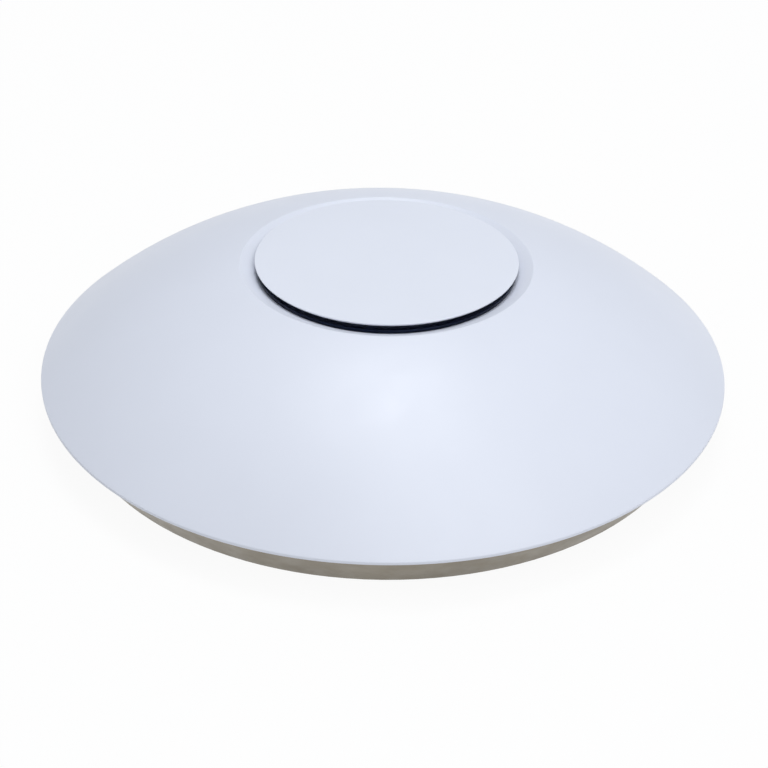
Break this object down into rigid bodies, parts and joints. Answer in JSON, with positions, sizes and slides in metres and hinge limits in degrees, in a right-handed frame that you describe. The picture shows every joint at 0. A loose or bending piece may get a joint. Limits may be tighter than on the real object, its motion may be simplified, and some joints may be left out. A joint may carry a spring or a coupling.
{
  "type": "ceiling access point",
  "caption": "Round ceiling wireless access point: white domed cover with a centre disc and dark light ring, cast base, twist-on mounting bracket and side-entry network jack.",
  "frame": {"origin": "centre of the mounting bracket's back face, which lies on the ceiling", "axes": "+Z out of the domed face, away from the ceiling; the network jack's mouth looks along -Y"},
  "size_m": [0.22, 0.22, 0.0481],
  "materials": {
    "bracket_plastic": "fine moulded texture",
    "cast_base": "satin warm-grey paint on a casting",
    "dome_white": "satin cool white",
    "disc_white": "satin cool white",
    "smoked_ring": "glossy smoked translucent",
    "gasket_rubber": "matt",
    "label_white": "blank satin film",
    "screw_steel": "zinc plated",
    "board_green": "solder mask",
    "board_white": "white solder mask",
    "tinned_sheet": "tinned",
    "black_plastic": "moulded",
    "gold_contact": "gold plated",
    "capacitor_sleeve": "shrink sleeve",
    "ferrite": "sintered",
    "thermal_pad": "soft",
    "button_plastic": "moulded",
    "plate_aluminium": "plain sheet",
    "white_plastic": "moulded",
    "led_lens": "clear over phosphor",
    "flex_film": "polyimide film",
    "coax_jacket": "thin jacket"
  },
  "bodies": {
    "bracket": {"mounting_bracket": "bracket_plastic"},
    "head": {"base_shell": "cast_base", "dome_cover": "dome_white", "centre_disc": "disc_white", "light_ring": "smoked_ring", "rim_gasket": "gasket_rubber", "label_plate": "label_white", "case_screws": "screw_steel", "main_board": "board_green", "board_screws": "screw_steel", "ethernet_jack_shield": "tinned_sheet", "ethernet_jack_body": "black_plastic", "jack_contacts": "gold_contact", "lan_magnetics": "black_plastic", "poe_transformer": "black_plastic", "filter_capacitors": "capacitor_sleeve", "power_inductors": "ferrite", "soc_shield_can": "tinned_sheet", "radio_shield_can": "tinned_sheet", "main_processor": "black_plastic", "memory_chips": "black_plastic", "radio_chip": "black_plastic", "lid_pads": "thermal_pad", "thermal_pads": "thermal_pad", "reset_switch": "black_plastic", "standoffs": "screw_steel", "antenna_ground_plate": "plate_aluminium", "plate_screws": "screw_steel", "antenna_spacers": "white_plastic", "coax_sockets": "gold_contact", "led_carrier": "white_plastic", "carrier_screws": "screw_steel", "led_board": "board_white", "leds": "led_lens", "led_cable": "flex_film", "led_header": "white_plastic", "antenna_1": "tinned_sheet", "coax_1": "coax_jacket", "antenna_2": "tinned_sheet", "coax_2": "coax_jacket", "antenna_3": "tinned_sheet", "coax_3": "coax_jacket", "antenna_4": "tinned_sheet", "coax_4": "coax_jacket"},
    "button": {"reset_button": "button_plastic"}
  },
  "joints": [
    {"name": "bayonet_twist", "type": "hinge", "parent": "bracket", "child": "head", "pos_m": [0, 0, 0], "axis": [0, 0, 1], "range_deg": [0, 22]},
    {"name": "reset_press", "type": "slide", "parent": "head", "child": "button", "axis": [0, 0, 1], "range_m": [0, 0.0003], "stiffness_N_per_m": 3000, "springref_m": -0.0003}
  ]
}
